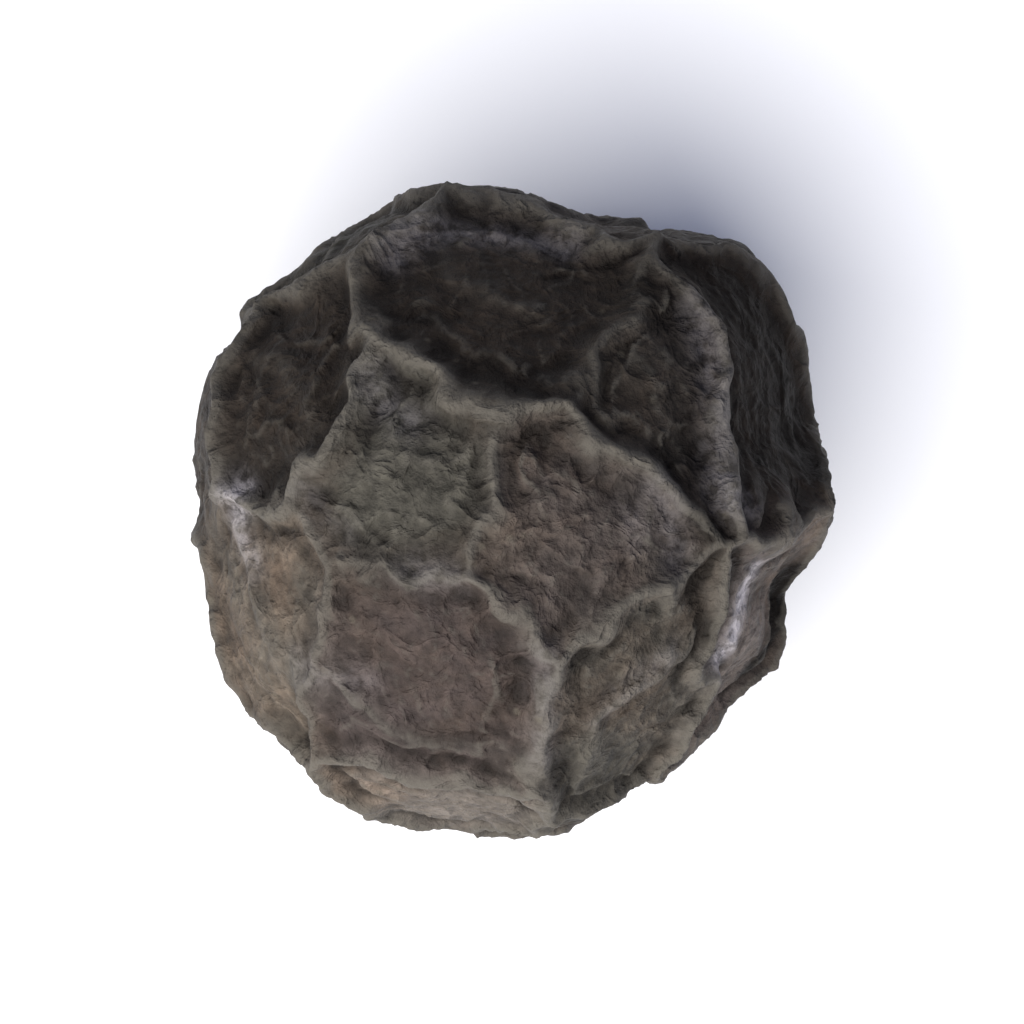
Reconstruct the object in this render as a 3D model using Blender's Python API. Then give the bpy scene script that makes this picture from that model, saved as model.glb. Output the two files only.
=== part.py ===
# Black peppercorn: one dried berry, whose skin has shrunk into a raised net of ridges round sunk floors.
# Metres, +Z up. The origin is at the bottom centre of its box, on the small flat spot that it rests on.

import math
import random

import bmesh
import bpy
import numpy as np
from mathutils import Matrix, Vector, noise

# Driving dimensions in metres: the box of the whole berry, and the spot that it rests on.
WIDTH = 0.00464
DEPTH = 0.00476
HEIGHT = 0.00444
REST_SPOT_RADIUS = 0.0005

# The middle of each floor that shows from above: X, Y and how far out the floor lies, all in mean radii,
# and how flat it is, from 0 for as round as the berry to 1 for level.
SEEN_FLOORS = {
    "top": (-0.05, 0.69, 0.930, 0.70),
    "top_right": (0.45, 0.42, 0.946, 0.65),
    "right": (0.70, 0.44, 0.929, 0.60),
    "top_left": (-0.76, 0.38, 0.952, 0.60),
    "middle_left": (-0.42, 0.18, 0.966, 0.22),
    "middle": (0.16, 0.05, 0.970, 0.16),
    "bottom_left": (-0.32, -0.47, 0.953, 0.14),
    "bottom_right": (0.47, -0.55, 0.922, 0.20),
    "left": (-0.86, -0.17, 0.952, 0.16),
    "low_right": (0.80, -0.40, 0.915, 0.40),
    "bottom": (-0.32, -0.89, 0.972, 0.22),
}

# How strongly the ridge between two of those floors stands out, where it differs from the rest.
SEEN_RIDGES = {
    ("top", "top_right"): 0.35,
    ("top", "middle_left"): 1.10,
    ("top", "middle"): 1.05,
    ("top_right", "middle"): 0.95,
    ("right", "top_right"): 1.20,
    ("right", "low_right"): 0.80,
    ("middle_left", "middle"): 0.50,
    ("middle_left", "bottom_left"): 0.45,
    ("middle", "bottom_left"): 0.70,
    ("middle", "bottom_right"): 0.80,
    ("bottom_left", "bottom_right"): 0.75,
    ("middle_left", "left"): 0.60,
    ("bottom_left", "left"): 0.50,
    ("bottom_left", "bottom"): 0.90,
}

# The low folds that run across the floors seen from above: three points of each, X and Y in mean radii,
# and how strongly it stands out at its first and its last point.
SEEN_FOLDS = (
    ((-0.62, -0.44), (-0.40, -0.57), (-0.06, -0.68), 1.00, 0.45),
    ((0.20, -0.76), (0.29, -0.51), (0.55, -0.36), 0.60, 1.00),
    ((-0.62, 0.16), (-0.37, 0.27), (-0.14, 0.25), 0.35, 0.35),
    ((0.46, -0.20), (0.35, -0.10), (0.33, 0.04), 0.90, 0.20),
    ((0.24, 0.64), (0.22, 0.48), (0.29, 0.34), 0.30, 0.75),
    ((-0.94, 0.04), (-0.82, -0.22), (-0.66, -0.46), 0.30, 0.80),
    ((-0.34, 0.88), (-0.16, 0.74), (0.04, 0.70), 0.20, 0.70),
    ((-0.78, 0.52), (-0.68, 0.38), (-0.72, 0.20), 0.50, 0.30),
)

# The floor that it rests on is small and stands out. The other hidden floors are scattered by a seeded rule.
# Angles are in radians, lengths in mean radii.
HIDDEN_TOP = 0.10
REST_FLOOR_DISTANCE = 0.99
SEED = 31
HIDDEN_SPACING = (0.43, 0.60)
HIDDEN_FLOOR_DISTANCE = (0.925, 0.975)
HIDDEN_FLATNESS = (0.12, 0.50)
FLOOR_BLEND = 40.0
HIDDEN_RIDGE_STRENGTH = (0.60, 1.10)
SCATTER_TRIES = 6000
FAINT_RIDGE_SHARE = 0.12
FAINT_RIDGE_STRENGTH = 0.25

# The ridges, in mean radii. Each change along them is given by how quickly it comes and how large it is.
RIDGE_HEIGHT = 0.058
RIDGE_HEIGHT_CHANGE = (3.4, 0.30)
RIDGE_WIDTH_CHANGE = (6.0, 0.30)
RIDGE_LOWER_AT_SIDES = 0.32
RIDGE_SIDE_REACH = 0.38
RIDGE_SWELL_WIDTH = 0.085
RIDGE_CREST_WIDTH = 0.037
RIDGE_ROUNDNESS = 2.4
RIDGE_CREST_SHARE = 0.64
GUTTER_DEPTH = 0.020
GUTTER_PLACE = 0.105
GUTTER_WIDTH = 0.045
GUTTER_GAIN = 4.0
GUTTER_LEAST = 0.4
JUNCTION_POWER = 8.0
FLOORS_COMPARED = 5

# Where the sides stand out or are flattened: azimuth in degrees, amount in mean radii, and reach in degrees.
SIDES = (
    (20.0, -0.090, 12.0),
    (48.0, 0.052, 15.0),
    (78.0, -0.075, 16.0),
    (120.0, 0.045, 13.0),
    (158.0, 0.130, 17.0),
    (200.0, 0.040, 11.0),
    (260.0, -0.150, 27.0),
    (297.0, -0.185, 16.0),
    (323.0, -0.205, 18.0),
    (349.0, -0.170, 11.0),
)

# The folds, in mean radii, and those of the hidden floors: how many a floor has, how far its ends and its
# middle lie from the middle of the floor, the angle between its ends there, and its strength at either end.
FOLD_HEIGHT = 0.026
FOLD_WIDTH = 0.036
FOLD_STEPS = 6
FOLD_COUNTS = (0, 1, 1, 2)
FOLD_SPAN = 0.31
FOLD_BEND = (-0.06, 0.12)
FOLD_SPREAD = (math.radians(80.0), math.radians(170.0))
FOLD_STRONG_END = (0.60, 1.00)
FOLD_WEAK_END = (0.10, 0.70)
FOLD_SEED = 4

# How far the middle of a floor may lie below its corners before they are rounded off.
CORNER_LIMIT = 0.11

# How much the net wanders, and the slow unevenness of the berry: how quickly each comes and how large it is.
WANDER = ((1.7, 0.060), (4.6, 0.085), (10.0, 0.040))
UNEVENNESS = ((1.3, 0.022), (3.1, 0.010))

# Where in the noise each of them is read, so that no two follow each other.
WANDER_SHIFT = 11.3
AXIS_SHIFT = 4.7
HEIGHT_SHIFT = 51.0
WIDTH_SHIFT = 57.0
UNEVENNESS_SHIFT = 91.0
SHIFT_STEP = 7.0

# The scar where the berry sat on its spike, and the withered tip about opposite: azimuth, elevation.
SCAR_PLACE = (math.radians(236.0), math.radians(-27.0))
TIP_PLACE = (math.radians(51.0), math.radians(4.0))
SCAR_RADIUS = 0.17
SCAR_BED_SHARE = 0.5
SCAR_RIM_SHARE = 1.15
SCAR_CLEAR_SHARE = 1.7
SCAR_DEPTH = 0.034
SCAR_RIM_HEIGHT = 0.020
SCAR_RIM_WIDTH = 0.040
TIP_RADIUS = 0.085
TIP_HEIGHT = 0.045

# The underside, and how far below the middle it is pressed flat, in mean radii.
UNDERSIDE = (0.0, math.radians(-90.0))
REST_LEVEL = 1.0
REST_SPOT_FADE = 1.35

# The mesh: an even sphere, thinned where the surface is plain.
SPHERE_LEVEL = 7
KEPT_SHARE = 0.115


def direction(place):
    azimuth, elevation = place
    flat = math.cos(elevation)
    return np.array((flat * math.cos(azimuth), flat * math.sin(azimuth), math.sin(elevation)))


def above(x, y):
    """The direction that is seen at X, Y from above."""
    found = np.array((x, y, math.sqrt(max(0.0, 1.0 - x * x - y * y))))
    return found / np.linalg.norm(found)


def angle_from(points, place):
    return np.arccos(np.clip(points @ direction(place), -1.0, 1.0))


def random_direction(rng):
    z = rng.uniform(-1.0, 1.0)
    turn = rng.uniform(0.0, 2.0 * math.pi)
    flat = math.sqrt(1.0 - z * z)
    return np.array((flat * math.cos(turn), flat * math.sin(turn), z))


def scatter(start, rng):
    """Adds random directions on the hidden side to the given ones for as long as they find room."""
    found = list(start)
    for _ in range(SCATTER_TRIES):
        candidate = random_direction(rng)
        room = math.cos(rng.uniform(*HIDDEN_SPACING))
        if candidate[2] < HIDDEN_TOP and all(float(candidate @ other) < room for other in found):
            found.append(candidate)
    return np.array(found)


def smooth_step(low, high, value):
    t = np.clip((value - low) / (high - low), 0.0, 1.0)
    return t * t * (3.0 - 2.0 * t)


def bell(value, width):
    return np.exp(-((value / width) ** 2))


def noise_at(points, scale, shift):
    """Smooth noise, about -1 to 1, at each of the points."""
    offset = Vector((shift, 2.0 * shift, -shift))
    return np.array([noise.noise(Vector(point) * scale + offset) for point in points])


def wandered(points):
    """The directions moved a little sideways, so that the ridges wind instead of running straight."""
    moved = points.copy()
    for step, (scale, amount) in enumerate(WANDER):
        for axis in range(3):
            shift = WANDER_SHIFT * (step + 1) + AXIS_SHIFT * axis
            moved[:, axis] += amount * noise_at(points, scale, shift)
    return moved / np.linalg.norm(moved, axis=1)[:, None]


class Net:
    """Floors spread over the berry, with ridges along the lines where they meet."""

    def __init__(self, centres, distances, flatness, strengths):
        self.centres = centres
        self.distances = distances
        self.flatness = flatness
        self.strengths = strengths

    def nearest(self, points, count):
        closeness = points @ self.centres.T / self.distances
        order = np.argsort(-closeness, axis=1)[:, :count]
        return order, np.take_along_axis(closeness, order, axis=1)

    def edge_distance(self, order, closeness, first, second):
        """How far each point lies from the line between two of its nearest floors."""
        apart = np.linalg.norm(self.centres[order[:, first]] - self.centres[order[:, second]], axis=1)
        return (closeness[:, 0] - closeness[:, second]) / apart

    def blended(self, values, order, closeness):
        """The nearest floor's value, passing smoothly into its neighbours'."""
        weights = np.exp((closeness - closeness[:, :1]) * FLOOR_BLEND)
        return (weights * values[order]).sum(axis=1) / weights.sum(axis=1)

    def ridges(self, order, closeness, profile):
        """Height 0 to about 1, largest on the lines between the nearest floors."""
        total = np.zeros(len(order))
        count = order.shape[1]
        for first in range(count - 1):
            for second in range(first + 1, count):
                strength = self.strengths[order[:, first], order[:, second]]
                height = strength * profile(self.edge_distance(order, closeness, first, second))
                total += height ** JUNCTION_POWER
        return total ** (1.0 / JUNCTION_POWER)


def side_reach(points):
    """How far the sides stand out from round, fading towards the top and the underside."""
    azimuth = np.arctan2(points[:, 1], points[:, 0])
    total = np.zeros(len(points))
    for degrees, amount, reach in SIDES:
        turn = (azimuth - math.radians(degrees) + math.pi) % (2.0 * math.pi) - math.pi
        total += amount * bell(turn, math.radians(reach))
    return total * (1.0 - points[:, 2] ** 2)


def main_net():
    rng = random.Random(SEED)
    names = list(SEEN_FLOORS)
    seen = [above(x, y) for x, y, _, _ in SEEN_FLOORS.values()]
    placed = seen + [direction(UNDERSIDE), direction(SCAR_PLACE)]
    centres = scatter(placed, rng)
    distances = [distance for _, _, distance, _ in SEEN_FLOORS.values()] + [REST_FLOOR_DISTANCE]
    flatness = [share for _, _, _, share in SEEN_FLOORS.values()]
    while len(distances) < len(centres):
        distances.append(rng.uniform(*HIDDEN_FLOOR_DISTANCE))
    while len(flatness) < len(centres):
        flatness.append(rng.uniform(*HIDDEN_FLATNESS))
    strengths = np.ones((len(centres), len(centres)))
    for first in range(len(centres)):
        for second in range(first + 1, len(centres)):
            strength = rng.uniform(*HIDDEN_RIDGE_STRENGTH)
            if rng.random() < FAINT_RIDGE_SHARE:
                strength = FAINT_RIDGE_STRENGTH
            if second < len(names):
                pair = (names[first], names[second])
                strength = SEEN_RIDGES.get(pair, SEEN_RIDGES.get(pair[::-1], 1.0))
            strengths[first, second] = strength
            strengths[second, first] = strength
    return Net(centres, np.array(distances), np.array(flatness), strengths)


def all_folds(net):
    """Each fold's first, middle and last point, and its strength at either end."""
    folds = []
    for first, middle, last, *ends in SEEN_FOLDS:
        folds.append((above(*first), above(*middle), above(*last), *ends))
    rng = random.Random(FOLD_SEED)
    for centre in net.centres[len(SEEN_FLOORS) + 1:]:
        side = np.cross(centre, direction(TIP_PLACE))
        side /= np.linalg.norm(side)
        up = np.cross(centre, side)
        for _ in range(rng.choice(FOLD_COUNTS)):
            turn = rng.uniform(0.0, 2.0 * math.pi)
            half = rng.uniform(*FOLD_SPREAD) / 2.0
            marks = []
            for away, angle in ((FOLD_SPAN, -half), (rng.uniform(*FOLD_BEND), 0.0), (FOLD_SPAN, half)):
                marks.append(centre + away * (math.cos(turn + angle) * side + math.sin(turn + angle) * up))
            folds.append((*marks, rng.uniform(*FOLD_STRONG_END), rng.uniform(*FOLD_WEAK_END)))
    return folds


def fold_lines(points, folds):
    """Height 0 to 1, largest along the folds."""
    height = np.zeros(len(points))
    for first, middle, last, start_strength, end_strength in folds:
        control = 2.0 * middle - (first + last) / 2.0
        marks = []
        for share in np.linspace(0.0, 1.0, FOLD_STEPS + 1):
            rest = 1.0 - share
            mark = rest * rest * first + 2.0 * rest * share * control + share * share * last
            marks.append(mark / np.linalg.norm(mark))
        for step in range(FOLD_STEPS):
            start, run = marks[step], marks[step + 1] - marks[step]
            along = np.clip((points - start) @ run / (run @ run), 0.0, 1.0)
            distance = np.linalg.norm(points - start - along[:, None] * run, axis=1)
            strength = start_strength + (end_strength - start_strength) * (step + along) / FOLD_STEPS
            height = np.maximum(height, strength * bell(distance, FOLD_WIDTH))
    return height


def change_along(points, change, shift):
    """A factor about 1 that rises and falls slowly over the berry."""
    scale, amount = change
    return 1.0 + amount * noise_at(points, scale, shift)


def ridge_profile(distance):
    """Across a ridge: a rounded crest on a broad swell."""
    crest = RIDGE_CREST_SHARE * np.exp(-np.abs(distance / RIDGE_CREST_WIDTH) ** RIDGE_ROUNDNESS)
    return crest + (1.0 - RIDGE_CREST_SHARE) * bell(distance, RIDGE_SWELL_WIDTH)


def radius_of(points):
    """How far out the skin lies in each direction, in mean radii."""
    net = main_net()
    moved = wandered(points)
    order, closeness = net.nearest(moved, FLOORS_COMPARED)
    edge = net.edge_distance(order, closeness, 0, 1)
    width_change = change_along(points, RIDGE_WIDTH_CHANGE, WIDTH_SHIFT)
    ridge = net.ridges(order, closeness, lambda distance: ridge_profile(distance / width_change))
    height_change = change_along(points, RIDGE_HEIGHT_CHANGE, HEIGHT_SHIFT)
    height_change *= 1.0 - RIDGE_LOWER_AT_SIDES * bell(points[:, 2], RIDGE_SIDE_REACH)
    gutter = bell(edge - GUTTER_PLACE, GUTTER_WIDTH) * np.clip(ridge * GUTTER_GAIN, GUTTER_LEAST, 1.0)

    fold = fold_lines(moved, all_folds(net))

    rise = CORNER_LIMIT * np.tanh((1.0 / closeness[:, 0] - 1.0) / CORNER_LIMIT)
    body = 1.0 + net.blended(net.flatness, order, closeness) * rise
    for step, (scale, amount) in enumerate(UNEVENNESS):
        body += amount * noise_at(points, scale, UNEVENNESS_SHIFT + SHIFT_STEP * step)
    body += side_reach(points)

    scar_angle = angle_from(moved, SCAR_PLACE)
    off_scar = smooth_step(SCAR_RADIUS, SCAR_RADIUS * SCAR_CLEAR_SHARE, scar_angle)

    radius = body + RIDGE_HEIGHT * height_change * ridge * off_scar
    radius += (FOLD_HEIGHT * fold - GUTTER_DEPTH * gutter) * off_scar
    radius -= SCAR_DEPTH * (1.0 - smooth_step(SCAR_RADIUS * SCAR_BED_SHARE, SCAR_RADIUS, scar_angle))
    radius += SCAR_RIM_HEIGHT * bell(scar_angle - SCAR_RADIUS * SCAR_RIM_SHARE, SCAR_RIM_WIDTH)
    radius += TIP_HEIGHT * bell(angle_from(points, TIP_PLACE), TIP_RADIUS)
    return radius


def press_flat(points, level, spot_radius):
    """Brings the skin under the berry to one level plane, and lets nothing reach below it."""
    from_axis = np.hypot(points[:, 0], points[:, 1])
    pressed = 1.0 - smooth_step(spot_radius, spot_radius * REST_SPOT_FADE, from_axis)
    pressed *= points[:, 2] < 0.0
    points[:, 2] += pressed * (-level - points[:, 2])
    points[:, 2] = np.maximum(points[:, 2], -level)


def berry_mesh():
    bm = bmesh.new()
    bmesh.ops.create_icosphere(bm, subdivisions=SPHERE_LEVEL, radius=1.0)
    directions = np.array([vert.co.normalized() for vert in bm.verts], dtype=float)
    points = directions * radius_of(directions)[:, None]
    press_flat(points, REST_LEVEL, REST_SPOT_RADIUS / (0.5 * WIDTH))
    low = points.min(axis=0)
    high = points.max(axis=0)
    for vert, point in zip(bm.verts, points):
        vert.co = point
    middle = (low + high) / 2.0
    bmesh.ops.translate(bm, verts=bm.verts, vec=(-middle[0], -middle[1], -low[2]))
    scale = np.array((WIDTH, DEPTH, HEIGHT)) / (high - low)
    bmesh.ops.transform(bm, verts=bm.verts, matrix=Matrix.Diagonal((*scale, 1.0)))
    mesh = bpy.data.meshes.new("peppercorn")
    bm.to_mesh(mesh)
    bm.free()
    return mesh


def skin_material():
    material = bpy.data.materials.new("dried_skin")
    material.use_nodes = True
    shader = material.node_tree.nodes["Principled BSDF"]
    shader.inputs["Base Color"].default_value = (0.050, 0.042, 0.034, 1.0)
    shader.inputs["Roughness"].default_value = 0.62
    shader.inputs["Metallic"].default_value = 0.0
    return material


def build():
    for old in list(bpy.data.objects):
        bpy.data.objects.remove(old)
    parts = bpy.data.collections.new("black_peppercorn")
    bpy.context.scene.collection.children.link(parts)

    mesh = berry_mesh()
    mesh.materials.append(skin_material())
    mesh.shade_smooth()
    berry = bpy.data.objects.new("peppercorn", mesh)
    parts.objects.link(berry)

    thin = berry.modifiers.new("Thin the plain parts", "DECIMATE")
    thin.decimate_type = "COLLAPSE"
    thin.ratio = KEPT_SHARE


build()
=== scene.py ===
import math
import random

import bmesh
import bpy
import numpy as np
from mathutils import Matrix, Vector, noise


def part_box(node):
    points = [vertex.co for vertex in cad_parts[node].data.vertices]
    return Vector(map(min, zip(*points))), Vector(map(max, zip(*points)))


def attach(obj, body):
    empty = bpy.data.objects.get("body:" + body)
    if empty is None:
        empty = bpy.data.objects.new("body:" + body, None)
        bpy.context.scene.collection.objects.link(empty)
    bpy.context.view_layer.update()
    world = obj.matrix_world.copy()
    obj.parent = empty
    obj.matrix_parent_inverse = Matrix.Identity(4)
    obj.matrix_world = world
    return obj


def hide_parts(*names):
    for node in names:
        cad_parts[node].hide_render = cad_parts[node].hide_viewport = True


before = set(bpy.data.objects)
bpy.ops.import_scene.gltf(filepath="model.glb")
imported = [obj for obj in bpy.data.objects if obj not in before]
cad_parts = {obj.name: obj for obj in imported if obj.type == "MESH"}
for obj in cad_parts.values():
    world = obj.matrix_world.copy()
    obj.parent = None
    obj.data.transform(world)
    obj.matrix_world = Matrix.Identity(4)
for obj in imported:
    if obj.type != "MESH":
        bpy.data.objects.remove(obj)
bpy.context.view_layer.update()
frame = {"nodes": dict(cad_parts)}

print("frame loaded, nodes:", ", ".join(frame["nodes"]))


# Peppercorn
# Lengths are in mean radii and angles in radians, because the form is worked out on a unit sphere.
# It is brought to its real size at the end, from the box of the CAD node that it replaces.
berry = {
    # the middle of each floor that shows from above: X, Y, how far out it lies, and how flat it is
    "seenFloors": {
        "top": (-0.05, 0.69, 0.930, 0.70),
        "topRight": (0.45, 0.42, 0.946, 0.65),
        "right": (0.70, 0.44, 0.929, 0.60),
        "topLeft": (-0.76, 0.38, 0.952, 0.60),
        "middleLeft": (-0.42, 0.18, 0.966, 0.22),
        "middle": (0.16, 0.05, 0.970, 0.16),
        "bottomLeft": (-0.32, -0.47, 0.953, 0.14),
        "bottomRight": (0.47, -0.55, 0.922, 0.20),
        "left": (-0.86, -0.17, 0.952, 0.16),
        "lowRight": (0.80, -0.40, 0.915, 0.40),
        "bottom": (-0.32, -0.89, 0.972, 0.22),
    },
    # how strongly the ridge between two of those floors stands out, where it differs from the rest
    "seenRidges": {
        ("top", "topRight"): 0.35,
        ("top", "middleLeft"): 1.10,
        ("top", "middle"): 1.05,
        ("topRight", "middle"): 0.95,
        ("right", "topRight"): 1.20,
        ("right", "lowRight"): 0.80,
        ("middleLeft", "middle"): 0.50,
        ("middleLeft", "bottomLeft"): 0.45,
        ("middle", "bottomLeft"): 0.70,
        ("middle", "bottomRight"): 0.80,
        ("bottomLeft", "bottomRight"): 0.75,
        ("middleLeft", "left"): 0.60,
        ("bottomLeft", "left"): 0.50,
        ("bottomLeft", "bottom"): 0.90,
    },
    # low folds across those floors: three points of each, and its strength at the first and the last
    "seenFolds": (
        ((-0.62, -0.44), (-0.40, -0.57), (-0.06, -0.68), 1.00, 0.45),
        ((0.20, -0.76), (0.29, -0.51), (0.55, -0.36), 0.60, 1.00),
        ((-0.62, 0.16), (-0.37, 0.27), (-0.14, 0.25), 0.35, 0.35),
        ((0.46, -0.20), (0.35, -0.10), (0.33, 0.04), 0.90, 0.20),
        ((0.24, 0.64), (0.22, 0.48), (0.29, 0.34), 0.30, 0.75),
        ((-0.94, 0.04), (-0.82, -0.22), (-0.66, -0.46), 0.30, 0.80),
        ((-0.34, 0.88), (-0.16, 0.74), (0.04, 0.70), 0.20, 0.70),
        ((-0.78, 0.52), (-0.68, 0.38), (-0.72, 0.20), 0.50, 0.30),
    ),
    # the floor underneath, and the other hidden floors, which are scattered below the level hiddenTop
    "restFloorDistance": 0.99,
    "hiddenTop": 0.10,
    "seed": 31,
    "scatterTries": 6000,
    "hiddenSpacing": (0.43, 0.60),
    "hiddenFloorDistance": (0.925, 0.975),
    "hiddenFlatness": (0.12, 0.50),
    "hiddenRidgeStrength": (0.60, 1.10),
    "faintRidgeShare": 0.12,
    "faintRidgeStrength": 0.25,
    # how many floors are looked at from each point, and how sharply one passes into the next
    "nearestFloors": 5,
    "floorBlend": 40.0,
    # main ridges, the same as in the CAD solid but with a crisper crest
    "ridgeHeight": 0.058,
    "ridgeHeightChange": (3.4, 0.30),      # scale, amount
    "ridgeWidthChange": (6.0, 0.30),
    "ridgeLowerAtSides": 0.32,
    "ridgeSideReach": 0.38,
    "ridgeSwellWidth": 0.085,
    "ridgeCrestWidth": 0.035,
    "ridgeRoundness": 2.4,
    "ridgeCrestShare": 0.64,
    "gutterDepth": 0.020,
    "gutterPlace": 0.105,
    "gutterWidth": 0.045,
    # how fast a gutter deepens with its ridge, and the least share of it that is always there
    "gutterByRidge": 4.0,
    "gutterLeast": 0.4,
    # how sharply ridges that meet pass into each other
    "junctionPower": 8.0,
    # where the sides stand out or are flattened: azimuth in degrees, amount, and reach in degrees
    "sides": (
        (20.0, -0.090, 12.0),
        (48.0, 0.052, 15.0),
        (78.0, -0.075, 16.0),
        (120.0, 0.045, 13.0),
        (158.0, 0.130, 17.0),
        (200.0, 0.040, 11.0),
        (260.0, -0.150, 27.0),
        (297.0, -0.185, 16.0),
        (323.0, -0.205, 18.0),
        (349.0, -0.170, 11.0),
    ),
    # the folds, and how those of the hidden floors are laid
    "foldHeight": 0.026,
    "foldWidth": 0.036,
    "foldSteps": 6,
    "foldCounts": (0, 1, 1, 2),
    "foldSpan": 0.31,
    "foldBend": (-0.06, 0.12),
    "foldSpread": (math.radians(80.0), math.radians(170.0)),
    "foldStrongEnd": (0.60, 1.00),
    "foldWeakEnd": (0.10, 0.70),
    "foldSeed": 4,
    # how far the corners between flat floors may stand out
    "cornerLimit": 0.11,
    # how much the net wanders, and the slow unevenness of the whole berry: (scale, amount)
    "wander": ((1.7, 0.060), (4.6, 0.085), (10.0, 0.040)),
    "unevenness": ((1.3, 0.022), (3.1, 0.010)),
    # azimuth and elevation; the scar's floor, rim and fade are in shares of its radius
    "scarPlace": (math.radians(236.0), math.radians(-27.0)),
    "scarRadius": 0.17,
    "scarFloor": 0.5,
    "scarRim": 1.15,
    "scarFade": 1.7,
    "scarDepth": 0.034,
    "scarRimHeight": 0.020,
    "scarRimWidth": 0.040,
    "tipPlace": (math.radians(51.0), math.radians(4.0)),
    "tipRadius": 0.085,
    "tipHeight": 0.045,
    "underside": (0.0, math.radians(-90.0)),
    "restLevel": 1.0,
    "restSpotRadius": 0.0005,      # metres
    "restSpotFade": 1.35,
    # how far round a place that shows from above its highest skin is looked for, in half-widths
    "seenReach": 0.015,
    # each of the 20 sides of the starting shape is cut into this many rows
    "rows": 98,
}

# Where in the noise each effect is read, so that no two of them are alike.
noiseShift = {
    "wanderLayer": 11.3,
    "wanderAxis": 4.7,
    "ridgeHeight": 51.0,
    "ridgeWidth": 57.0,
    "unevenness": 91.0,
    "unevennessLayer": 7.0,
    "wrinkleWander": 131.0,
    "wrinkleWanderAxis": 5.0,
    "wrinkle": 17.0,
    "crinkle": 23.0,
    "pucker": 31.0,
    "besideFold": 41.0,
    "besideFoldGaps": 43.0,
    "knobs": 61.0,
}


def direction(place):
    azimuth, elevation = place
    flat = math.cos(elevation)
    return np.array((flat * math.cos(azimuth), flat * math.sin(azimuth), math.sin(elevation)))


def above(x, y):
    # the direction that is seen at X, Y from above
    found = np.array((x, y, math.sqrt(max(0.0, 1.0 - x * x - y * y))))
    return found / np.linalg.norm(found)


def angleFrom(points, place):
    return np.arccos(np.clip(points @ direction(place), -1.0, 1.0))


def randomDirection(rng):
    z = rng.uniform(-1.0, 1.0)
    turn = rng.uniform(0.0, 2.0 * math.pi)
    flat = math.sqrt(1.0 - z * z)
    return np.array((flat * math.cos(turn), flat * math.sin(turn), z))


def scatter(start, rng):
    # random directions on the hidden side, for as long as they find room
    found = list(start)
    for _ in range(berry["scatterTries"]):
        candidate = randomDirection(rng)
        room = math.cos(rng.uniform(*berry["hiddenSpacing"]))
        if candidate[2] < berry["hiddenTop"] and all(float(candidate @ other) < room for other in found):
            found.append(candidate)
    return np.array(found)


def smoothStep(low, high, value):
    t = np.clip((value - low) / (high - low), 0.0, 1.0)
    return t * t * (3.0 - 2.0 * t)


def bell(value, width):
    return np.exp(-((value / width) ** 2))


def noiseAt(points, scale, shift):
    offset = Vector((shift, 2.0 * shift, -shift))
    return np.array([noise.noise(Vector(point) * scale + offset) for point in points])


def changeOf(points, field, shift):
    # a slow change on either side of zero, from a noise given as its scale and amount
    scale, amount = field
    return amount * noiseAt(points, scale, shift)


def wandered(points):
    # moved a little sideways, so that the ridges wind instead of running straight
    moved = points.copy()
    for layer, field in enumerate(berry["wander"]):
        for axis in range(3):
            shift = noiseShift["wanderLayer"] * (layer + 1) + noiseShift["wanderAxis"] * axis
            moved[:, axis] += changeOf(points, field, shift)
    return moved / np.linalg.norm(moved, axis=1)[:, None]


class Net:
    # floors spread over the berry, with ridges along the lines where they meet

    def __init__(self, centres, distances, flatness, strengths):
        self.centres = centres
        self.distances = distances
        self.flatness = flatness
        self.strengths = strengths

    def nearest(self, points, count):
        closeness = points @ self.centres.T / self.distances
        order = np.argsort(-closeness, axis=1)[:, :count]
        return order, np.take_along_axis(closeness, order, axis=1)

    def edgeDistance(self, order, closeness, first, second):
        apart = np.linalg.norm(self.centres[order[:, first]] - self.centres[order[:, second]], axis=1)
        return (closeness[:, 0] - closeness[:, second]) / apart

    def blended(self, values, order, closeness):
        # the nearest floor's value, passing smoothly into its neighbours'
        weights = np.exp((closeness - closeness[:, :1]) * berry["floorBlend"])
        return (weights * values[order]).sum(axis=1) / weights.sum(axis=1)

    def ridges(self, order, closeness, profile):
        total = np.zeros(len(order))
        count = order.shape[1]
        for first in range(count - 1):
            for second in range(first + 1, count):
                strength = self.strengths[order[:, first], order[:, second]]
                height = strength * profile(self.edgeDistance(order, closeness, first, second))
                total += height ** berry["junctionPower"]
        return total ** (1.0 / berry["junctionPower"])


def sideReach(points):
    # how far the sides stand out from round, fading towards the top and the underside
    azimuth = np.arctan2(points[:, 1], points[:, 0])
    total = np.zeros(len(points))
    for degrees, amount, reach in berry["sides"]:
        turn = (azimuth - math.radians(degrees) + math.pi) % (2.0 * math.pi) - math.pi
        total += amount * bell(turn, math.radians(reach))
    return total * (1.0 - points[:, 2] ** 2)


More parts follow.
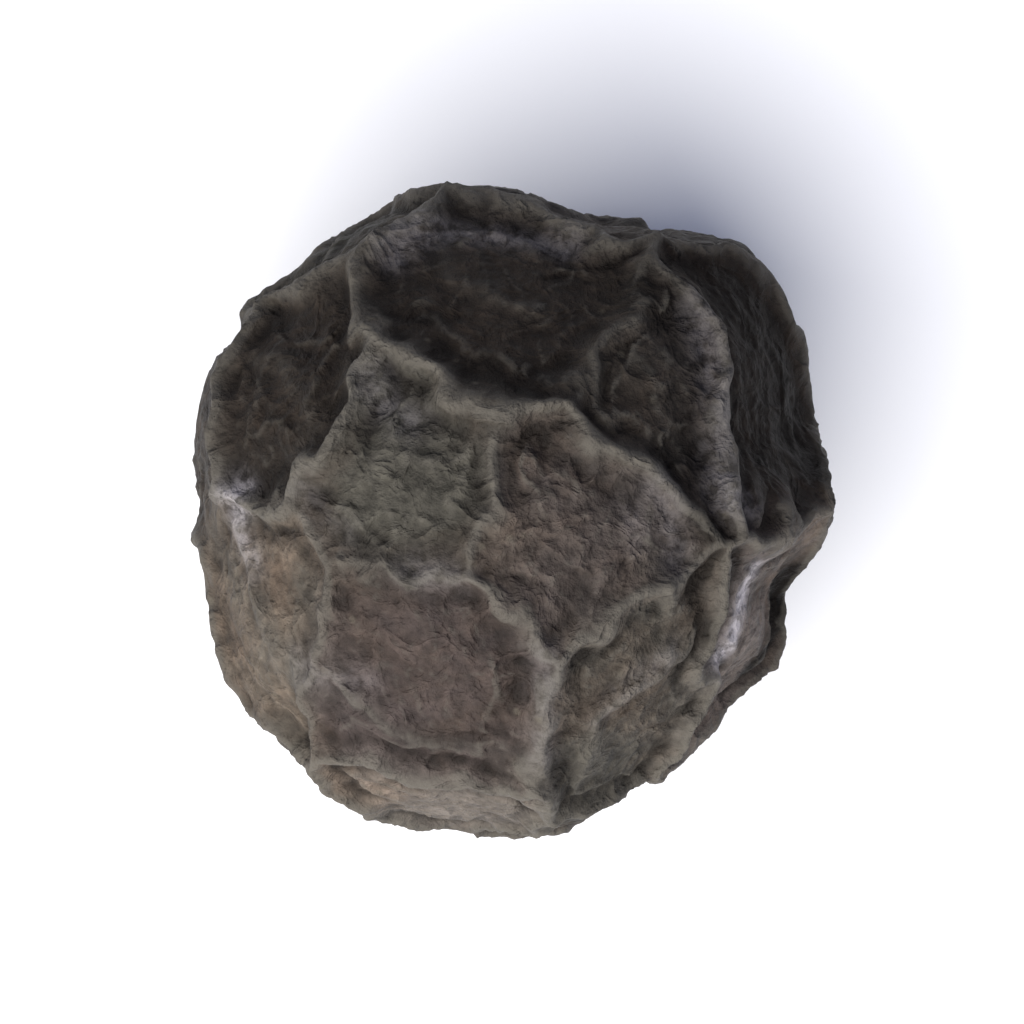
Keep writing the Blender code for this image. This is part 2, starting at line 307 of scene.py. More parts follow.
def mainNet():
    rng = random.Random(berry["seed"])
    floors = berry["seenFloors"]
    names = list(floors)
    seen = [above(x, y) for x, y, _, _ in floors.values()]
    placed = seen + [direction(berry["underside"]), direction(berry["scarPlace"])]
    centres = scatter(placed, rng)
    distances = [distance for _, _, distance, _ in floors.values()] + [berry["restFloorDistance"]]
    flatness = [share for _, _, _, share in floors.values()]
    while len(distances) < len(centres):
        distances.append(rng.uniform(*berry["hiddenFloorDistance"]))
    while len(flatness) < len(centres):
        flatness.append(rng.uniform(*berry["hiddenFlatness"]))
    strengths = np.ones((len(centres), len(centres)))
    for first in range(len(centres)):
        for second in range(first + 1, len(centres)):
            strength = rng.uniform(*berry["hiddenRidgeStrength"])
            if rng.random() < berry["faintRidgeShare"]:
                strength = berry["faintRidgeStrength"]
            if second < len(names):
                pair = (names[first], names[second])
                strength = berry["seenRidges"].get(pair, berry["seenRidges"].get(pair[::-1], 1.0))
            strengths[first, second] = strength
            strengths[second, first] = strength
    return Net(centres, np.array(distances), np.array(flatness), strengths)


def seenLines(lines):
    return [(above(*first), above(*middle), above(*last), *ends) for first, middle, last, *ends in lines]


def allFolds(net):
    # each fold's first, middle and last point, and its strength at either end
    folds = seenLines(berry["seenFolds"])
    rng = random.Random(berry["foldSeed"])
    span = berry["foldSpan"]
    for centre in net.centres[len(berry["seenFloors"]) + 1:]:
        side = np.cross(centre, direction(berry["tipPlace"]))
        side /= np.linalg.norm(side)
        up = np.cross(centre, side)
        for _ in range(rng.choice(berry["foldCounts"])):
            turn = rng.uniform(0.0, 2.0 * math.pi)
            half = rng.uniform(*berry["foldSpread"]) / 2.0
            marks = []
            for away, angle in ((span, -half), (rng.uniform(*berry["foldBend"]), 0.0), (span, half)):
                marks.append(centre + away * (math.cos(turn + angle) * side + math.sin(turn + angle) * up))
            folds.append((*marks, rng.uniform(*berry["foldStrongEnd"]), rng.uniform(*berry["foldWeakEnd"])))
    return folds


def linesAlong(points, lines, width):
    # 0 to 1, largest along the given lines
    height = np.zeros(len(points))
    steps = berry["foldSteps"]
    for first, middle, last, startStrength, endStrength in lines:
        control = 2.0 * middle - (first + last) / 2.0
        marks = []
        for share in np.linspace(0.0, 1.0, steps + 1):
            rest = 1.0 - share
            mark = rest * rest * first + 2.0 * rest * share * control + share * share * last
            marks.append(mark / np.linalg.norm(mark))
        for step in range(steps):
            start, run = marks[step], marks[step + 1] - marks[step]
            along = np.clip((points - start) @ run / (run @ run), 0.0, 1.0)
            distance = np.linalg.norm(points - start - along[:, None] * run, axis=1)
            strength = startStrength + (endStrength - startStrength) * (step + along) / steps
            height = np.maximum(height, strength * bell(distance, width))
    return height


def ridgeProfile(distance):
    steepness = np.abs(distance / berry["ridgeCrestWidth"]) ** berry["ridgeRoundness"]
    crest = berry["ridgeCrestShare"] * np.exp(-steepness)
    return crest + (1.0 - berry["ridgeCrestShare"]) * bell(distance, berry["ridgeSwellWidth"])


# How light each floor is painted, and its hue from -1 for greenish to 1 for mauve. On the floors seen from
# above the lightness is painted light and shade: dark on those that face away from the key light, light on
# the lit ones, lightest on lowRight and bottom, and on lowRight it helps paint the glint. The hidden floors
# get random tones.
floorLightAndTone = {
    "top": (0.48, -0.1),
    "topRight": (0.86, -0.3),
    "right": (0.20, 0.8),
    "topLeft": (0.36, -0.2),
    "middleLeft": (1.42, -0.8),
    "middle": (1.34, 0.4),
    "bottomLeft": (1.08, 0.9),
    "bottomRight": (1.50, -0.6),
    "left": (2.08, -0.6),
    "lowRight": (2.70, 0.3),
    "bottom": (2.70, -0.1),
    "hiddenTone": (0.75, 1.20),
    "hiddenHue": (-0.9, 0.9),
    "seed": 5,
}

# Where paler streaks and painted glints lie, where the skin is sunk in creases that are also painted in
# shade, and where bands of painted shade lie, as lines that show from above: three points of each, X and Y
# from the berry's middle in half-widths, and its strength at the first and the last.
# the strongest lines, on the lower right and the left, are painted glints; the weak ones are paler streaks
glintsAndPaleStreaks = {
    "lines": (
        ((0.75, -0.20), (0.71, -0.32), (0.65, -0.45), 1.45, 1.05),
        ((0.37, 0.00), (0.39, -0.04), (0.38, -0.09), 0.10, 0.08),
        ((-0.66, -0.47), (-0.56, -0.51), (-0.45, -0.52), 0.12, 0.08),
        ((-0.88, 0.05), (-0.86, -0.03), (-0.81, -0.16), 0.75, 0.25),
        ((0.28, -0.64), (0.38, -0.54), (0.50, -0.45), 0.08, 0.10),
        ((0.45, 0.06), (0.49, -0.04), (0.51, -0.15), 0.12, 0.12),
        ((0.11, -0.45), (0.10, -0.62), (0.09, -0.78), 0.10, 0.10),
        ((-0.62, 0.06), (-0.58, -0.02), (-0.52, -0.06), 0.07, 0.05),
        ((-0.44, 0.42), (-0.38, 0.33), (-0.30, 0.27), 0.13, 0.15),
        ((0.66, 0.12), (0.69, 0.05), (0.74, 0.02), 0.24, 0.24),
        ((0.59, 0.66), (0.63, 0.40), (0.65, 0.12), 0.14, 0.18),
        ((-0.36, 0.80), (-0.16, 0.87), (0.16, 0.82), 0.20, 0.20),
        ((-0.32, -0.17), (-0.25, -0.18), (-0.18, -0.21), 0.10, 0.10),
    ),
    "width": 0.050,
}
# creases: sunk into the skin and painted in shade
darkCreases = {
    "lines": (
        ((0.50, 0.17), (0.55, 0.04), (0.66, -0.08), 0.80, 1.20),
        ((-0.06, 0.46), (0.00, 0.40), (0.08, 0.38), 0.70, 1.00),
        ((-0.71, 0.14), (-0.79, 0.10), (-0.86, 0.13), 0.90, 0.80),
        ((-0.46, 0.66), (-0.33, 0.61), (-0.20, 0.60), 0.90, 0.70),
        ((0.42, 0.72), (0.46, 0.69), (0.48, 0.62), 0.80, 0.50),
        ((0.85, 0.12), (0.93, 0.03), (0.82, -0.03), 0.80, 0.70),
        ((0.54, -0.16), (0.58, -0.28), (0.60, -0.40), 0.60, 1.00),
        ((-0.02, -0.42), (0.03, -0.52), (-0.04, -0.62), 0.40, 0.50),
        ((-0.32, -0.68), (-0.18, -0.71), (-0.04, -0.66), 0.40, 0.50),
    ),
    "width": 0.042,
    "depth": 0.016,
}
# bands of painted shade along the shaded sides of ridges, with no depth
shadeBands = {
    "lines": (
        ((0.86, -0.21), (0.82, -0.34), (0.74, -0.50), 1.50, 1.50),
        ((0.39, 0.70), (0.45, 0.67), (0.50, 0.61), 1.00, 0.90),
        ((-0.14, 0.35), (-0.06, 0.38), (0.06, 0.42), 0.45, 0.75),
        ((-0.42, 0.64), (-0.35, 0.62), (-0.26, 0.61), 0.50, 0.40),
        ((0.75, 0.62), (0.85, 0.40), (0.92, 0.15), 0.90, 1.10),
        ((0.57, 0.14), (0.61, 0.02), (0.67, -0.09), 0.50, 0.80),
        ((-0.74, 0.13), (-0.80, 0.11), (-0.84, 0.14), 0.40, 0.40),
        ((-0.22, 0.33), (-0.12, 0.31), (-0.03, 0.33), 0.20, 0.35),
        ((-0.58, -0.15), (-0.46, -0.20), (-0.34, -0.26), 0.30, 0.30),
        ((0.12, 0.33), (0.18, 0.31), (0.26, 0.25), 0.30, 0.20),
        ((0.71, 0.68), (0.76, 0.50), (0.84, 0.32), 0.80, 0.50),
    ),
    "width": 0.090,
}


def tonesOf(net):
    rng = random.Random(floorLightAndTone["seed"])
    tones = [floorLightAndTone[name] for name in berry["seenFloors"]]
    while len(tones) < len(net.centres):
        tones.append((rng.uniform(*floorLightAndTone["hiddenTone"]), rng.uniform(*floorLightAndTone["hiddenHue"])))
    return np.array(tones)


# Fine relief that only this piece has, in mean radii: (scale of the noise, height).
fine = {
    "wrinkle": (9.0, 0.0060),
    "wrinkleWander": (6.0, 0.10),
    "wrinkleOnRidges": 0.35,
    "ridgeToFloor": (0.03, 0.12),
    "crinkle": (22.0, 0.0042),
    "lineSharpness": 3.2,
    "pucker": (4.5, 0.0046),
    # where the puckers rise and where they fade, from the ridge towards the middle of the floor
    "puckerRise": (0.02, 0.07),
    "puckerFade": (0.08, 0.24),
    "puckerAxis": (0.3, 0.2, 0.93),
    "puckerFloorStep": 1.7,
    "knobs": (18.0, 0.0085),
    "knobReach": 0.06,
    # a low fold that runs beside some of the ridges: distance from the ridge, width, height
    "besideFold": (0.165, 0.028, 0.011),
    "besideFoldWander": (4.0, 0.30),
    "besideFoldGapScale": 3.0,
    "besideFoldGaps": (-0.10, 0.25),
}


def ridgedNoise(points, scale, shift):
    # thin raised lines where the noise passes through zero, 0 to 1
    return 1.0 - np.clip(np.abs(noiseAt(points, scale, shift)) * fine["lineSharpness"], 0.0, 1.0)


def puckers(points, net, nearestFloor):
    # lines that run in from the ridges towards the middle of each floor
    centres = net.centres[nearestFloor]
    side = np.cross(centres, fine["puckerAxis"])
    side /= np.linalg.norm(side, axis=1)[:, None]
    up = np.cross(centres, side)
    across = np.stack([(points * side).sum(1), (points * up).sum(1)], axis=1)
    across /= np.linalg.norm(across, axis=1)[:, None] + 1e-6
    spots = np.column_stack([across, nearestFloor * fine["puckerFloorStep"]])
    return changeOf(spots, fine["pucker"], noiseShift["pucker"])


def bodyOf(points, net, order, closeness):
    # the berry without its net: flatter floors, an uneven body, and sides that bulge or are flattened
    limit = berry["cornerLimit"]
    rise = limit * np.tanh((1.0 / closeness[:, 0] - 1.0) / limit)
    radius = 1.0 + net.blended(net.flatness, order, closeness) * rise
    for layer, field in enumerate(berry["unevenness"]):
        radius += changeOf(points, field, noiseShift["unevenness"] + noiseShift["unevennessLayer"] * layer)
    return radius + sideReach(points)


def netRelief(points, net, order, closeness, widthChange):
    # the raised net, with a gutter along either side of each ridge
    ridge = net.ridges(order, closeness, lambda distance: ridgeProfile(distance / widthChange))
    heightChange = 1.0 + changeOf(points, berry["ridgeHeightChange"], noiseShift["ridgeHeight"])
    heightChange *= 1.0 - berry["ridgeLowerAtSides"] * bell(points[:, 2], berry["ridgeSideReach"])
    edge = net.edgeDistance(order, closeness, 0, 1)
    gutter = bell(edge - berry["gutterPlace"], berry["gutterWidth"])
    gutter *= np.clip(ridge * berry["gutterByRidge"], berry["gutterLeast"], 1.0)
    return berry["ridgeHeight"] * heightChange * ridge - berry["gutterDepth"] * gutter


def scarAndTip(points, scarAngle):
    scarRadius = berry["scarRadius"]
    sunk = 1.0 - smoothStep(scarRadius * berry["scarFloor"], scarRadius, scarAngle)
    rim = bell(scarAngle - scarRadius * berry["scarRim"], berry["scarRimWidth"])
    tip = bell(angleFrom(points, berry["tipPlace"]), berry["tipRadius"])
    return berry["scarRimHeight"] * rim - berry["scarDepth"] * sunk + berry["tipHeight"] * tip


def fineRelief(points, moved, net, nearestFloor, edge, offScar):
    bent = points.copy()
    for axis in range(3):
        shift = noiseShift["wrinkleWander"] + noiseShift["wrinkleWanderAxis"] * axis
        bent[:, axis] += changeOf(points, fine["wrinkleWander"], shift)
    scale, height = fine["wrinkle"]
    onRidges = fine["wrinkleOnRidges"]
    wrinkleShare = onRidges + (1.0 - onRidges) * smoothStep(*fine["ridgeToFloor"], edge)
    relief = height * ridgedNoise(bent, scale, noiseShift["wrinkle"]) * wrinkleShare
    scale, height = fine["crinkle"]
    relief += height * ridgedNoise(bent, scale, noiseShift["crinkle"])
    reach = smoothStep(*fine["puckerRise"], edge) * (1.0 - smoothStep(*fine["puckerFade"], edge))
    relief += puckers(moved, net, nearestFloor) * reach * offScar
    place, width, height = fine["besideFold"]
    place = place * (1.0 + changeOf(points, fine["besideFoldWander"], noiseShift["besideFold"]))
    gaps = noiseAt(points, fine["besideFoldGapScale"], noiseShift["besideFoldGaps"])
    relief += height * bell(edge - place, width) * smoothStep(*fine["besideFoldGaps"], gaps) * offScar
    return relief + changeOf(points, fine["knobs"], noiseShift["knobs"]) * bell(edge, fine["knobReach"])


def seenFromAbove(points, radius):
    # where the skin in each direction shows from above, and how high it lies, in half-widths
    low, high = [np.array(corner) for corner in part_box("peppercorn")]
    size = high - low
    places = points * radius[:, None]
    middle = (places.min(axis=0) + places.max(axis=0)) / 2.0
    return (places - middle) * size / np.ptp(places, axis=0) / (0.5 * size[0])


def skinSeenAt(x, y, points, seen):
    # the direction of the highest skin that shows there, or of the nearest if the place is off the edge
    away = np.hypot(seen[:, 0] - x, seen[:, 1] - y)
    near = np.flatnonzero(away <= max(berry["seenReach"], away.min()))
    return points[near[np.argmax(seen[near, 2])]]


def markedOn(points, seen, marking):
    # 0 to 1, largest along lines that are given as they show from above
    lines = []
    for *marks, startStrength, endStrength in marking["lines"]:
        found = [skinSeenAt(x, y, points, seen) for x, y in marks]
        lines.append((*found, startStrength, endStrength))
    return linesAlong(points, lines, marking["width"])


# How the masks for the material are drawn.
masking = {
    "crestWidth": 0.85,            # of the ridge's own crest
    "foldCrest": 0.45,             # how pale a fold's crest is beside a ridge's
    # how much of a crest's paleness the painted shade of the creases and bands hides
    "crestLostInShade": 0.8,
    # how far the skin stands out from what is round it, widely and closely:
    # rounds of smoothing, and the height that counts as one
    "proud": (60, 0.02),
    "closeProud": (8, 0.004),
}


def reliefOf(points):
    # how far out the skin lies in each direction, and masks for the material
    net = mainNet()
    moved = wandered(points)
    order, closeness = net.nearest(moved, berry["nearestFloors"])
    edge = net.edgeDistance(order, closeness, 0, 1)
    widthChange = 1.0 + changeOf(points, berry["ridgeWidthChange"], noiseShift["ridgeWidth"])
    fold = linesAlong(moved, allFolds(net), berry["foldWidth"])
    scarAngle = angleFrom(moved, berry["scarPlace"])
    offScar = smoothStep(berry["scarRadius"], berry["scarRadius"] * berry["scarFade"], scarAngle)

    relief = netRelief(points, net, order, closeness, widthChange) + berry["foldHeight"] * fold
    radius = bodyOf(points, net, order, closeness) + relief * offScar + scarAndTip(points, scarAngle)
    seen = seenFromAbove(points, radius)
    radius += fineRelief(points, moved, net, order[:, 0], edge, offScar)
    crease = markedOn(points, seen, darkCreases)
    radius -= darkCreases["depth"] * crease

    # painted shade along the creases and the bands
    dark = np.maximum(crease, markedOn(points, seen, shadeBands))
    strength = net.strengths[order[:, 0], order[:, 1]]
    crestWidth = berry["ridgeCrestWidth"] * masking["crestWidth"] * widthChange
    crest = np.maximum(bell(edge, crestWidth) * np.clip(strength, 0.0, 1.0), masking["foldCrest"] * fold)
    tones = tonesOf(net)
    masks = {
        "crest": crest * offScar * (1.0 - masking["crestLostInShade"] * dark),
        "dark": dark,
        # painted light and shade on the floors seen from above, random tone on the hidden ones
        "tone": net.blended(tones[:, 0], order, closeness),
        "hue": net.blended(tones[:, 1], order, closeness),
        # painted glints and paler streaks
        "pale": markedOn(points, seen, glintsAndPaleStreaks),
    }
    return radius, masks


def evenSphere(rows):
    bm = bmesh.new()
    bmesh.ops.create_icosphere(bm, subdivisions=1, radius=1.0)
    bmesh.ops.subdivide_edges(bm, edges=bm.edges[:], cuts=rows - 1, use_grid_fill=True)
    for vert in bm.verts:
        vert.co.normalize()
    return bm


def pressFlat(points, level, spotRadius):
    # the skin under the berry comes to one level plane, and nothing reaches below it
    fromAxis = np.hypot(points[:, 0], points[:, 1])
    pressed = 1.0 - smoothStep(spotRadius, spotRadius * berry["restSpotFade"], fromAxis)
    pressed *= points[:, 2] < 0.0
    points[:, 2] += pressed * (-level - points[:, 2])
    points[:, 2] = np.maximum(points[:, 2], -level)


def smoothedOver(values, ends, rounds):
    # each value becomes the mean of its neighbours', again and again
    count = np.bincount(ends.ravel(), minlength=len(values))
    for _ in range(rounds):
        total = np.bincount(ends[:, 0], weights=values[ends[:, 1]], minlength=len(values))
        total += np.bincount(ends[:, 1], weights=values[ends[:, 0]], minlength=len(values))
        values = 0.5 * values + 0.5 * total / count
    return values


def addMask(mesh, name, values):
    mask = mesh.attributes.new(name, "FLOAT", "POINT")
    mask.data.foreach_set("value", np.ascontiguousarray(values, dtype=np.float32))


def makePeppercorn():
    bm = evenSphere(berry["rows"])
    directions = np.array([vert.co for vert in bm.verts], dtype=float)
    radius, masks = reliefOf(directions)
    points = directions * radius[:, None]
    low, high = [np.array(corner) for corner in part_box("peppercorn")]
    size = high - low
    pressFlat(points, berry["restLevel"], berry["restSpotRadius"] / (0.5 * size[0]))
    scale = size / np.ptp(points, axis=0)
    points = (points - points.min(axis=0)) * scale + low
    for vert, point in zip(bm.verts, points):
        vert.co = point
    ends = np.array([[edge.verts[0].index, edge.verts[1].index] for edge in bm.edges])
    mesh = bpy.data.meshes.new("peppercornSkin")
    bm.to_mesh(mesh)
    bm.free()
    mesh.shade_smooth()
    for name in ("proud", "closeProud"):
        rounds, unit = masking[name]
        masks[name] = (radius - smoothedOver(radius, ends, rounds)) / unit
    for name, values in masks.items():
        addMask(mesh, name, values)
    piece = bpy.data.objects.new("peppercorn_skin", mesh)
    bpy.context.scene.collection.objects.link(piece)
    print("peppercorn:", len(mesh.vertices), "points,", len(mesh.polygons), "faces")
    return piece


# Materials
def addNode(tree, kind, label, **inputs):
    node = tree.nodes.new(kind)
    node.label = label
    for name, value in inputs.items():
        node.inputs[name].default_value = value
    return node


def join(tree, source, output, target, socket):
    tree.links.new(source.outputs[output], target.inputs[socket])


def mixColours(tree, label, share, first, second):
    # share, first and second are either values or (node, output) pairs
    node = tree.nodes.new("ShaderNodeMix")
    node.data_type = "RGBA"
    node.label = label
    for socket, value in ((0, share), (6, first), (7, second)):
        if isinstance(value, tuple) and hasattr(value[0], "outputs"):
            tree.links.new(value[0].outputs[value[1]], node.inputs[socket])
        else:
            node.inputs[socket].default_value = value
    return node


def mapValue(tree, label, source, output):
    # a value brought from one range to another, as skinRanges says for its label
    node = tree.nodes.new("ShaderNodeMapRange")
    node.label = label
    for socket, limit in zip(("From Min", "From Max", "To Min", "To Max"), skinRanges[label]):
        node.inputs[socket].default_value = limit
    tree.links.new(source.outputs[output], node.inputs["Value"])
    return node


def mathNode(tree, operation, label, first, second):
    node = tree.nodes.new("ShaderNodeMath")
    node.operation = operation
    node.label = label
    for socket, value in ((0, first), (1, second)):
        if isinstance(value, tuple):
            tree.links.new(value[0].outputs[value[1]], node.inputs[socket])
        else:
            node.inputs[socket].default_value = value
    return node


# Dried skin. Colours are linear, scales are per millimetre, heights in metres.
skin = {
    "greenish": (0.0290, 0.0274, 0.0216, 1.0),
    "mauve": (0.0345, 0.0264, 0.0240, 1.0),
    "brown": (0.042, 0.029, 0.020, 1.0),
    "crest": (0.090, 0.082, 0.068, 1.0),
    # painted shade colour, for the hollows and for the dark creases and bands
    "hollowShade": (0.0060, 0.0045, 0.0034, 1.0),
    # colour of the painted glints and paler streaks
    "glint": (0.360, 0.335, 0.340, 1.0),
    "fleck": (0.10, 0.088, 0.066, 1.0),
    # the dark creases and bands are painted shade
    "darkShare": 0.88,             # how much of the skin's own colour a dark crease or band hides
    "fleckScale": 4.2,
    "pitScale": 15.0,
    "creaseOffset": 0.9,
    "creaseGain": 1.6,
    # strength and height of each bump
    "grainBump": (1.0, 0.000014),
    "pitBump": (0.8, 0.000022),
    "creaseBump": (1.0, 0.000026),
    "ior": 1.46,
    "shine": 0.08,
}

# scale, detail, roughness, distortion
skinNoises = {
    "mottle": (0.9, 4.0, 0.6, 0.3),
    "speckle": (9.0, 5.0, 0.62, 0.0),
    "grain": (38.0, 3.0, 0.6, 0.0),
    "creases": (3.2, 4.0, 0.55, 0.5),
}

# the range that each value comes from, and the range that it is brought to
skinRanges = {
    "hue share": (-1.0, 1.0, 0.0, 1.0),
    "mottle share": (0.46, 0.72, 0.0, 0.7),
    "shaded floors browner": (0.80, 0.30, 0.0, 0.75),
    "speckle share": (0.35, 0.70, 0.65, 1.40),
    "crease tone": (0.20, 1.60, 0.87, 1.44),
    "hollow share": (-0.10, -0.85, 0.0, 0.80),
    "crest broken up": (0.30, 0.62, 0.35, 1.0),
    "crest by tone": (0.15, 1.1, 0.55, 1.0),
    "highlight share": (0.15, 1.3, 0.0, 0.42),
    "highlight by tone": (0.10, 0.80, 0.20, 1.0),
    "streaks broken up": (0.38, 0.57, 0.18, 1.0),
    "fleck share": (0.16, 0.08, 0.0, 0.35),
    "few flecks": (0.50, 0.58, 0.0, 1.0),
    "roughness": (0.30, 0.70, 0.48, 0.70),
}


def groundColour(tree, masks, noises):
    # each floor's hue, and its tone, which on the floors seen from above is painted light and shade, with
    # brown patches, speckles and fine creases in it, and browner where a floor is painted in shade
    hueShare = mapValue(tree, "hue share", masks["hue"], "Fac")
    hued = mixColours(tree, "greenish to mauve", (hueShare, "Result"), skin["greenish"], skin["mauve"])
    mottleShare = mapValue(tree, "mottle share", noises["mottle"], "Fac")
    # browner where a floor is painted in shade
    shadedFloors = mapValue(tree, "shaded floors browner", masks["tone"], "Fac")
    brownShare = mathNode(tree, "MAXIMUM", "brown share", (mottleShare, "Result"), (shadedFloors, "Result"))
    ground = mixColours(tree, "brown patches", (brownShare, "Value"), (hued, 2), skin["brown"])
    speckleShare = mapValue(tree, "speckle share", noises["speckle"], "Fac")
    creaseTone = mapValue(tree, "crease tone", noises["creases"], "Fac")
    fineTone = mathNode(tree, "MULTIPLY", "fine tone", (speckleShare, "Result"), (creaseTone, "Result"))
    toneShare = mathNode(tree, "MULTIPLY", "floor tone", (fineTone, "Value"), (masks["tone"], "Fac"))
    toned = tree.nodes.new("ShaderNodeVectorMath")
    toned.operation = "SCALE"
    toned.label = "toned"
    tree.links.new(ground.outputs[2], toned.inputs[0])
    join(tree, toneShare, "Value", toned, "Scale")
    return toned


def shadedColour(tree, masks, noises, ground):
    # painted shade where the skin is sunk below its surroundings and along the dark creases and bands,
    # paler crests that are less pale on the floors painted in shade, and a painted highlight on the high
    # points
    hollowShare = mapValue(tree, "hollow share", masks["proud"], "Fac")
    darkHere = mathNode(tree, "MULTIPLY", "dark share", (masks["dark"], "Fac"), skin["darkShare"])
    shadeShare = mathNode(tree, "MAXIMUM", "painted shade share", (hollowShare, "Result"), (darkHere, "Value"))
    darkened = mixColours(tree, "darker in hollows", (shadeShare, "Value"), (ground, 0), skin["hollowShade"])
    crestBroken = mapValue(tree, "crest broken up", noises["speckle"], "Fac")
    crestShare = mathNode(tree, "MULTIPLY", "crest share", (masks["crest"], "Fac"), (crestBroken, "Result"))
    # crests less pale on the floors painted in shade
    crestTone = mapValue(tree, "crest by tone", masks["tone"], "Fac")
    crestHere = mathNode(tree, "MULTIPLY", "crest here", (crestShare, "Value"), (crestTone, "Result"))
    crested = mixColours(tree, "paler crests", (crestHere, "Value"), (darkened, 2), skin["crest"])
    # painted highlight: paler on the high points, more so on the floors painted as lit
    highlightShare = mapValue(tree, "highlight share", masks["closeProud"], "Fac")
    highlightByTone = mapValue(tree, "highlight by tone", masks["tone"], "Fac")
    highlightHere = mathNode(tree, "MULTIPLY", "rubbed here", (highlightShare, "Result"), (highlightByTone, "Result"))
    return mixColours(tree, "painted highlight on high points", (highlightHere, "Value"), (crested, 2), skin["crest"])


def marksOn(tree, masks, noises, shaded, inMillimetres):
    # the painted glints and paler streaks, and a few pale flecks
    paleBroken = mapValue(tree, "streaks broken up", noises["speckle"], "Fac")
    paleShare = mathNode(tree, "MULTIPLY", "streaks", (masks["pale"], "Fac"), (paleBroken, "Result"))
    glint = mixColours(tree, "painted glint", (paleShare, "Value"), (shaded, 2), skin["glint"])
    spots = addNode(tree, "ShaderNodeTexVoronoi", "flecks", Scale=skin["fleckScale"], Randomness=1.0)
    join(tree, inMillimetres, "Vector", spots, "Vector")
    fleckShare = mapValue(tree, "fleck share", spots, "Distance")
    fewFlecks = mapValue(tree, "few flecks", noises["mottle"], "Fac")
    fleckHere = mathNode(tree, "MULTIPLY", "flecks here", (fleckShare, "Result"), (fewFlecks, "Result"))
    return mixColours(tree, "pale flecks", (fleckHere, "Value"), (glint, 2), skin["fleck"])


def skinBumps(tree, noises, inMillimetres):
    # grain, pits and fine creases, one over the other
    pits = addNode(tree, "ShaderNodeTexVoronoi", "pits", Scale=skin["pitScale"], Randomness=1.0)
    pits.feature = "SMOOTH_F1"
    join(tree, inMillimetres, "Vector", pits, "Vector")
    layers = (
        ("grainBump", noises["grain"], "Fac"),
        ("pitBump", pits, "Distance"),
        ("creaseBump", noises["creases"], "Fac"),
    )
    below = None
    for name, source, output in layers:
        strength, height = skin[name]
        bump = addNode(tree, "ShaderNodeBump", name, Strength=strength, Distance=height)
        join(tree, source, output, bump, "Height")
        if below is not None:
            join(tree, below, "Normal", bump, "Normal")
        below = bump
    return below


def makeSkin():
    material = bpy.data.materials.new("driedSkin")
    material.use_nodes = True
    tree = material.node_tree
    shader = tree.nodes["Principled BSDF"]
    shader.inputs["IOR"].default_value = skin["ior"]
    shader.inputs["Specular IOR Level"].default_value = skin["shine"]
    place = tree.nodes.new("ShaderNodeTexCoord")
    inMillimetres = tree.nodes.new("ShaderNodeMapping")
    inMillimetres.label = "metres to millimetres"
    inMillimetres.inputs["Scale"].default_value = (1000.0, 1000.0, 1000.0)
    join(tree, place, "Object", inMillimetres, "Vector")

    masks = {}
    for name in ("crest", "dark", "tone", "hue", "pale", "proud", "closeProud"):
        masks[name] = tree.nodes.new("ShaderNodeAttribute")
        masks[name].attribute_name = name
        masks[name].label = name
    noises = {}
    for name, (scale, detail, roughness, distortion) in skinNoises.items():
        noises[name] = addNode(tree, "ShaderNodeTexNoise", name, Scale=scale, Detail=detail,
                               Roughness=roughness, Distortion=distortion)
        join(tree, inMillimetres, "Vector", noises[name], "Vector")
    noises["creases"].noise_type = "RIDGED_MULTIFRACTAL"
    noises["creases"].inputs["Offset"].default_value = skin["creaseOffset"]
    noises["creases"].inputs["Gain"].default_value = skin["creaseGain"]

    ground = groundColour(tree, masks, noises)
    shaded = shadedColour(tree, masks, noises, ground)
    marked = marksOn(tree, masks, noises, shaded, inMillimetres)
    tree.links.new(marked.outputs[2], shader.inputs["Base Color"])
    rough = mapValue(tree, "roughness", noises["speckle"], "Fac")
    join(tree, rough, "Result", shader, "Roughness")
    join(tree, skinBumps(tree, noises, inMillimetres), "Normal", shader, "Normal")
    return material


peppercorn = makePeppercorn()
peppercorn.data.materials.append(makeSkin())
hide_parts("peppercorn")
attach(peppercorn, "root")
print("dried skin on")


# Floor, lights and camera. Lengths in metres, power in watts.
studio = {
    "floorSize": 0.6,
    "floorColour": (0.86, 0.86, 0.86, 1.0),
    "floorRoughness": 0.9,
    "sky": (0.58, 0.66, 1.0, 1.0),
    "skyStrength": 0.39,
    "keyPlace": (math.radians(236.0), math.radians(46.0)),      # azimuth, elevation
    "keyDistance": 0.20,
    "keySize": 0.38,
    "keyPower": 1.60,
    "keyColour": (1.0, 0.98, 0.95),
}


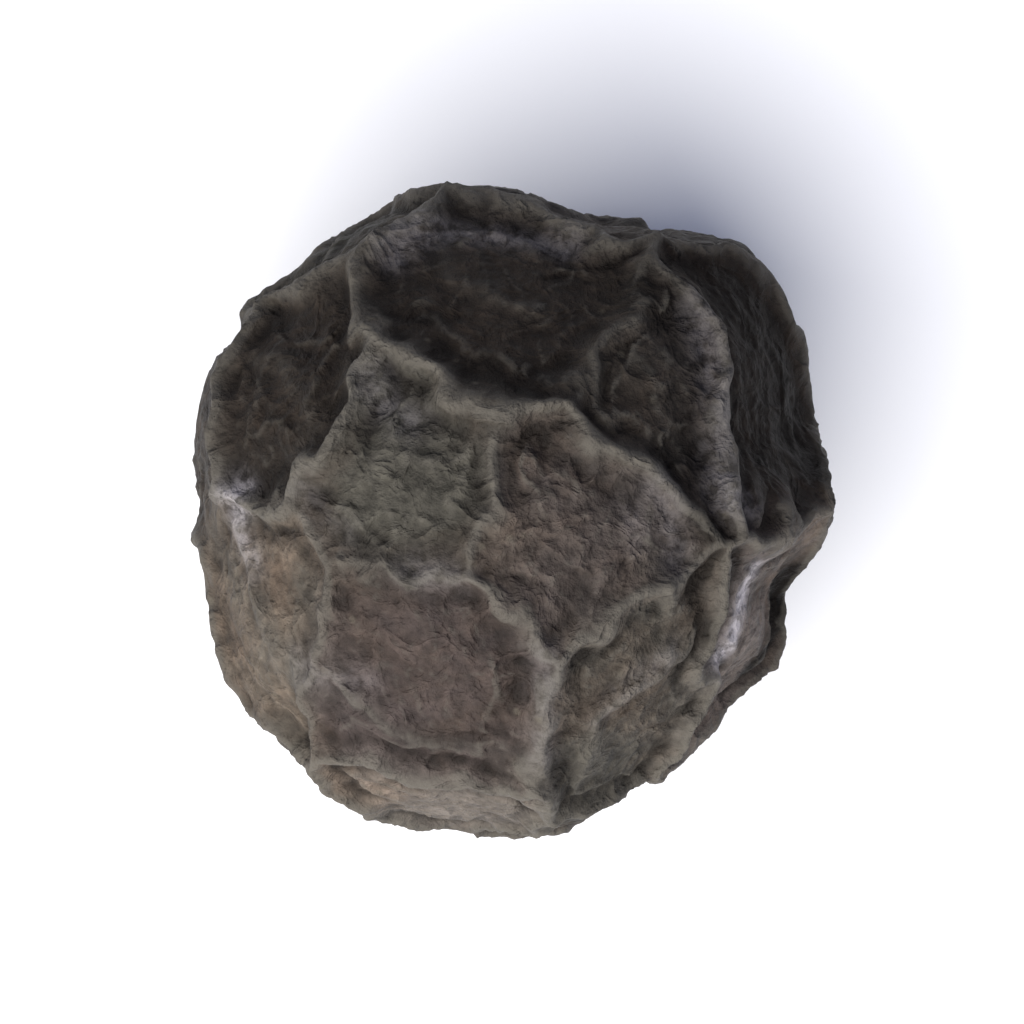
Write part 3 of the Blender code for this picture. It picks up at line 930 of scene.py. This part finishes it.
def makeFloor():
    bm = bmesh.new()
    bmesh.ops.create_grid(bm, x_segments=1, y_segments=1, size=studio["floorSize"] / 2.0)
    mesh = bpy.data.meshes.new("floor")
    bm.to_mesh(mesh)
    bm.free()
    floor = bpy.data.objects.new("floor", mesh)
    bpy.context.scene.collection.objects.link(floor)
    material = bpy.data.materials.new("paleFloor")
    material.use_nodes = True
    shader = material.node_tree.nodes["Principled BSDF"]
    shader.inputs["Base Color"].default_value = studio["floorColour"]
    shader.inputs["Roughness"].default_value = studio["floorRoughness"]
    shader.inputs["Specular IOR Level"].default_value = 0.0
    mesh.materials.append(material)


def makeLights():
    world = bpy.data.worlds.new("sky")
    bpy.context.scene.world = world
    world.use_nodes = True
    background = world.node_tree.nodes["Background"]
    background.inputs["Color"].default_value = studio["sky"]
    background.inputs["Strength"].default_value = studio["skyStrength"]
    light = bpy.data.lights.new("key", "AREA")
    light.shape = "DISK"
    light.size = studio["keySize"]
    light.energy = studio["keyPower"]
    light.color = studio["keyColour"]
    key = bpy.data.objects.new("key", light)
    towards = Vector(direction(studio["keyPlace"]))
    key.location = towards * studio["keyDistance"]
    key.rotation_euler = towards.to_track_quat("Z", "Y").to_euler()
    bpy.context.scene.collection.objects.link(key)


# straight above, as in the photo, with a long lens so that the berry is seen almost without perspective
shot = {
    "distance": 0.09,
    "sensor": 36.0,
    "seenWidth": 0.0074,
    "clip": (0.01, 2.0),
}


def makeCamera():
    low, high = [Vector(corner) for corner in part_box("peppercorn")]
    middle = (low + high) / 2.0
    camera = bpy.data.cameras.new("above")
    camera.sensor_width = shot["sensor"]
    camera.lens = shot["sensor"] * shot["distance"] / shot["seenWidth"]
    camera.clip_start, camera.clip_end = shot["clip"]
    holder = bpy.data.objects.new("above", camera)
    holder.location = (middle.x, middle.y, middle.z + shot["distance"])
    bpy.context.scene.collection.objects.link(holder)
    bpy.context.scene.camera = holder


makeFloor()
makeLights()
makeCamera()
bpy.context.scene.view_settings.view_transform = "Standard"
print("floor, lights and camera in place")
